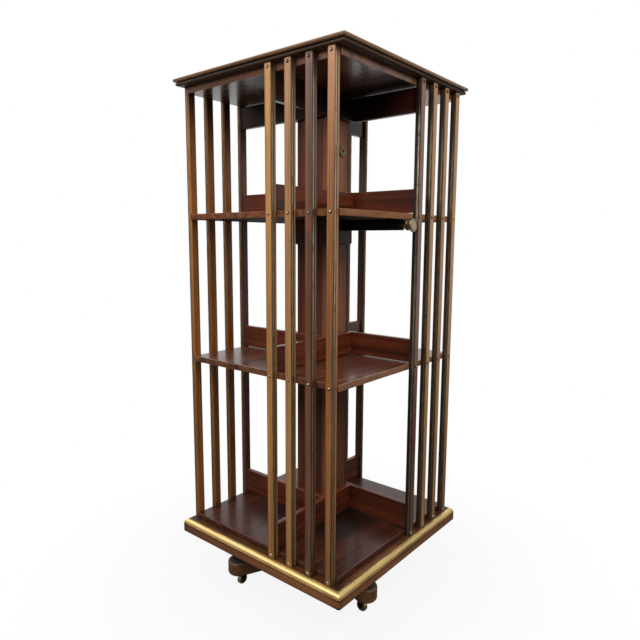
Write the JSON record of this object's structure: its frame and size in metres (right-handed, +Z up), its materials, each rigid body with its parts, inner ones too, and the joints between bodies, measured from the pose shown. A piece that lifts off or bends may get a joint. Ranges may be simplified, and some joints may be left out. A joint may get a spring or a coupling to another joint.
{
  "type": "revolving bookcase",
  "caption": "Square revolving bookcase with slatted sides, a brass moulding round its base, a central column and a cross base on castors.",
  "frame": {"origin": "on the floor, on the axis of the spindle that the case turns about", "axes": "+X along the left face as pictured, +Y along the right face, +Z up"},
  "size_m": [0.508, 0.508, 1.2195],
  "materials": {
    "slat_wood": "satin",
    "case_wood": "polished",
    "base_wood": "satin",
    "brass": "polished",
    "dull_brass": "dull",
    "castor_bronze": "worn",
    "iron": "dull",
    "black_enamel": "gloss"
  },
  "bodies": {
    "base": {"bearer_upper": "base_wood", "bearer_lower": "base_wood", "foot_pads": "base_wood", "pivot_hub": "base_wood", "spindle": "iron", "spindle_flange": "iron", "flange_screws": "iron", "thrust_washer": "brass", "castor_plates": "castor_bronze", "castor_screws": "iron"},
    "case": {"base_board": "case_wood", "thrust_plate": "iron", "board_screws": "iron", "brass_mouldings": "brass", "bottom_shelf": "case_wood", "lower_shelf": "case_wood", "upper_shelf": "case_wood", "frieze_board": "case_wood", "top_board": "case_wood", "column_left": "case_wood", "column_right": "case_wood", "column_back_right": "case_wood", "column_back_left": "case_wood", "shelf_cleats": "case_wood", "stops_bottom": "case_wood", "stops_lower": "case_wood", "stops_upper": "case_wood", "top_rails": "case_wood", "top_block": "base_wood", "top_bush": "brass", "slat_left_1": "slat_wood", "slat_left_2": "slat_wood", "slat_left_3": "slat_wood", "slat_left_4": "slat_wood", "slat_right_1": "slat_wood", "slat_right_2": "slat_wood", "slat_right_3": "slat_wood", "slat_right_4": "slat_wood", "slat_back_right_1": "slat_wood", "slat_back_right_2": "slat_wood", "slat_back_right_3": "slat_wood", "slat_back_right_4": "slat_wood", "slat_back_left_1": "slat_wood", "slat_back_left_2": "slat_wood", "slat_back_left_3": "slat_wood", "slat_back_left_4": "slat_wood", "slat_strips": "dull_brass", "slat_screws": "dull_brass", "socket_plate": "dull_brass", "arm_housing": "black_enamel"},
    "arm": {"arm_rod": "iron", "arm_knob": "dull_brass"},
    "castor_1": {"castor_fork_1": "castor_bronze"},
    "wheel_1": {"castor_wheel_1": "castor_bronze"},
    "castor_2": {"castor_fork_2": "castor_bronze"},
    "wheel_2": {"castor_wheel_2": "castor_bronze"},
    "castor_3": {"castor_fork_3": "castor_bronze"},
    "wheel_3": {"castor_wheel_3": "castor_bronze"},
    "castor_4": {"castor_fork_4": "castor_bronze"},
    "wheel_4": {"castor_wheel_4": "castor_bronze"}
  },
  "joints": [
    {"name": "case_turn", "type": "hinge", "parent": "base", "child": "case", "pos_m": [0, 0, 0.1073], "axis": [0, 0, 1], "continuous": true},
    {"name": "arm_slide", "type": "slide", "parent": "case", "child": "arm", "axis": [1, 0, 0], "range_m": [0, 0.1]},
    {"name": "castor_swivel_1", "type": "hinge", "parent": "base", "child": "castor_1", "pos_m": [0.20762, -0.09374, 0.0294], "axis": [0, 0, 1], "continuous": true},
    {"name": "wheel_roll_1", "type": "hinge", "parent": "castor_1", "child": "wheel_1", "pos_m": [0.19862, -0.09354, 0.013], "axis": [0.0227, 0.9997, 0], "continuous": true},
    {"name": "castor_swivel_2", "type": "hinge", "parent": "base", "child": "castor_2", "pos_m": [0.09374, 0.20762, 0.0294], "axis": [0, 0, 1], "continuous": true},
    {"name": "wheel_roll_2", "type": "hinge", "parent": "castor_2", "child": "wheel_2", "pos_m": [0.09354, 0.19862, 0.013], "axis": [-0.9997, 0.0227, 0], "continuous": true},
    {"name": "castor_swivel_3", "type": "hinge", "parent": "base", "child": "castor_3", "pos_m": [-0.20762, 0.09374, 0.0294], "axis": [0, 0, 1], "continuous": true},
    {"name": "wheel_roll_3", "type": "hinge", "parent": "castor_3", "child": "wheel_3", "pos_m": [-0.19862, 0.09354, 0.013], "axis": [-0.0227, -0.9997, 0], "continuous": true},
    {"name": "castor_swivel_4", "type": "hinge", "parent": "base", "child": "castor_4", "pos_m": [-0.09374, -0.20762, 0.0294], "axis": [0, 0, 1], "continuous": true},
    {"name": "wheel_roll_4", "type": "hinge", "parent": "castor_4", "child": "wheel_4", "pos_m": [-0.09354, -0.19862, 0.013], "axis": [0.9997, -0.0227, 0], "continuous": true}
  ]
}
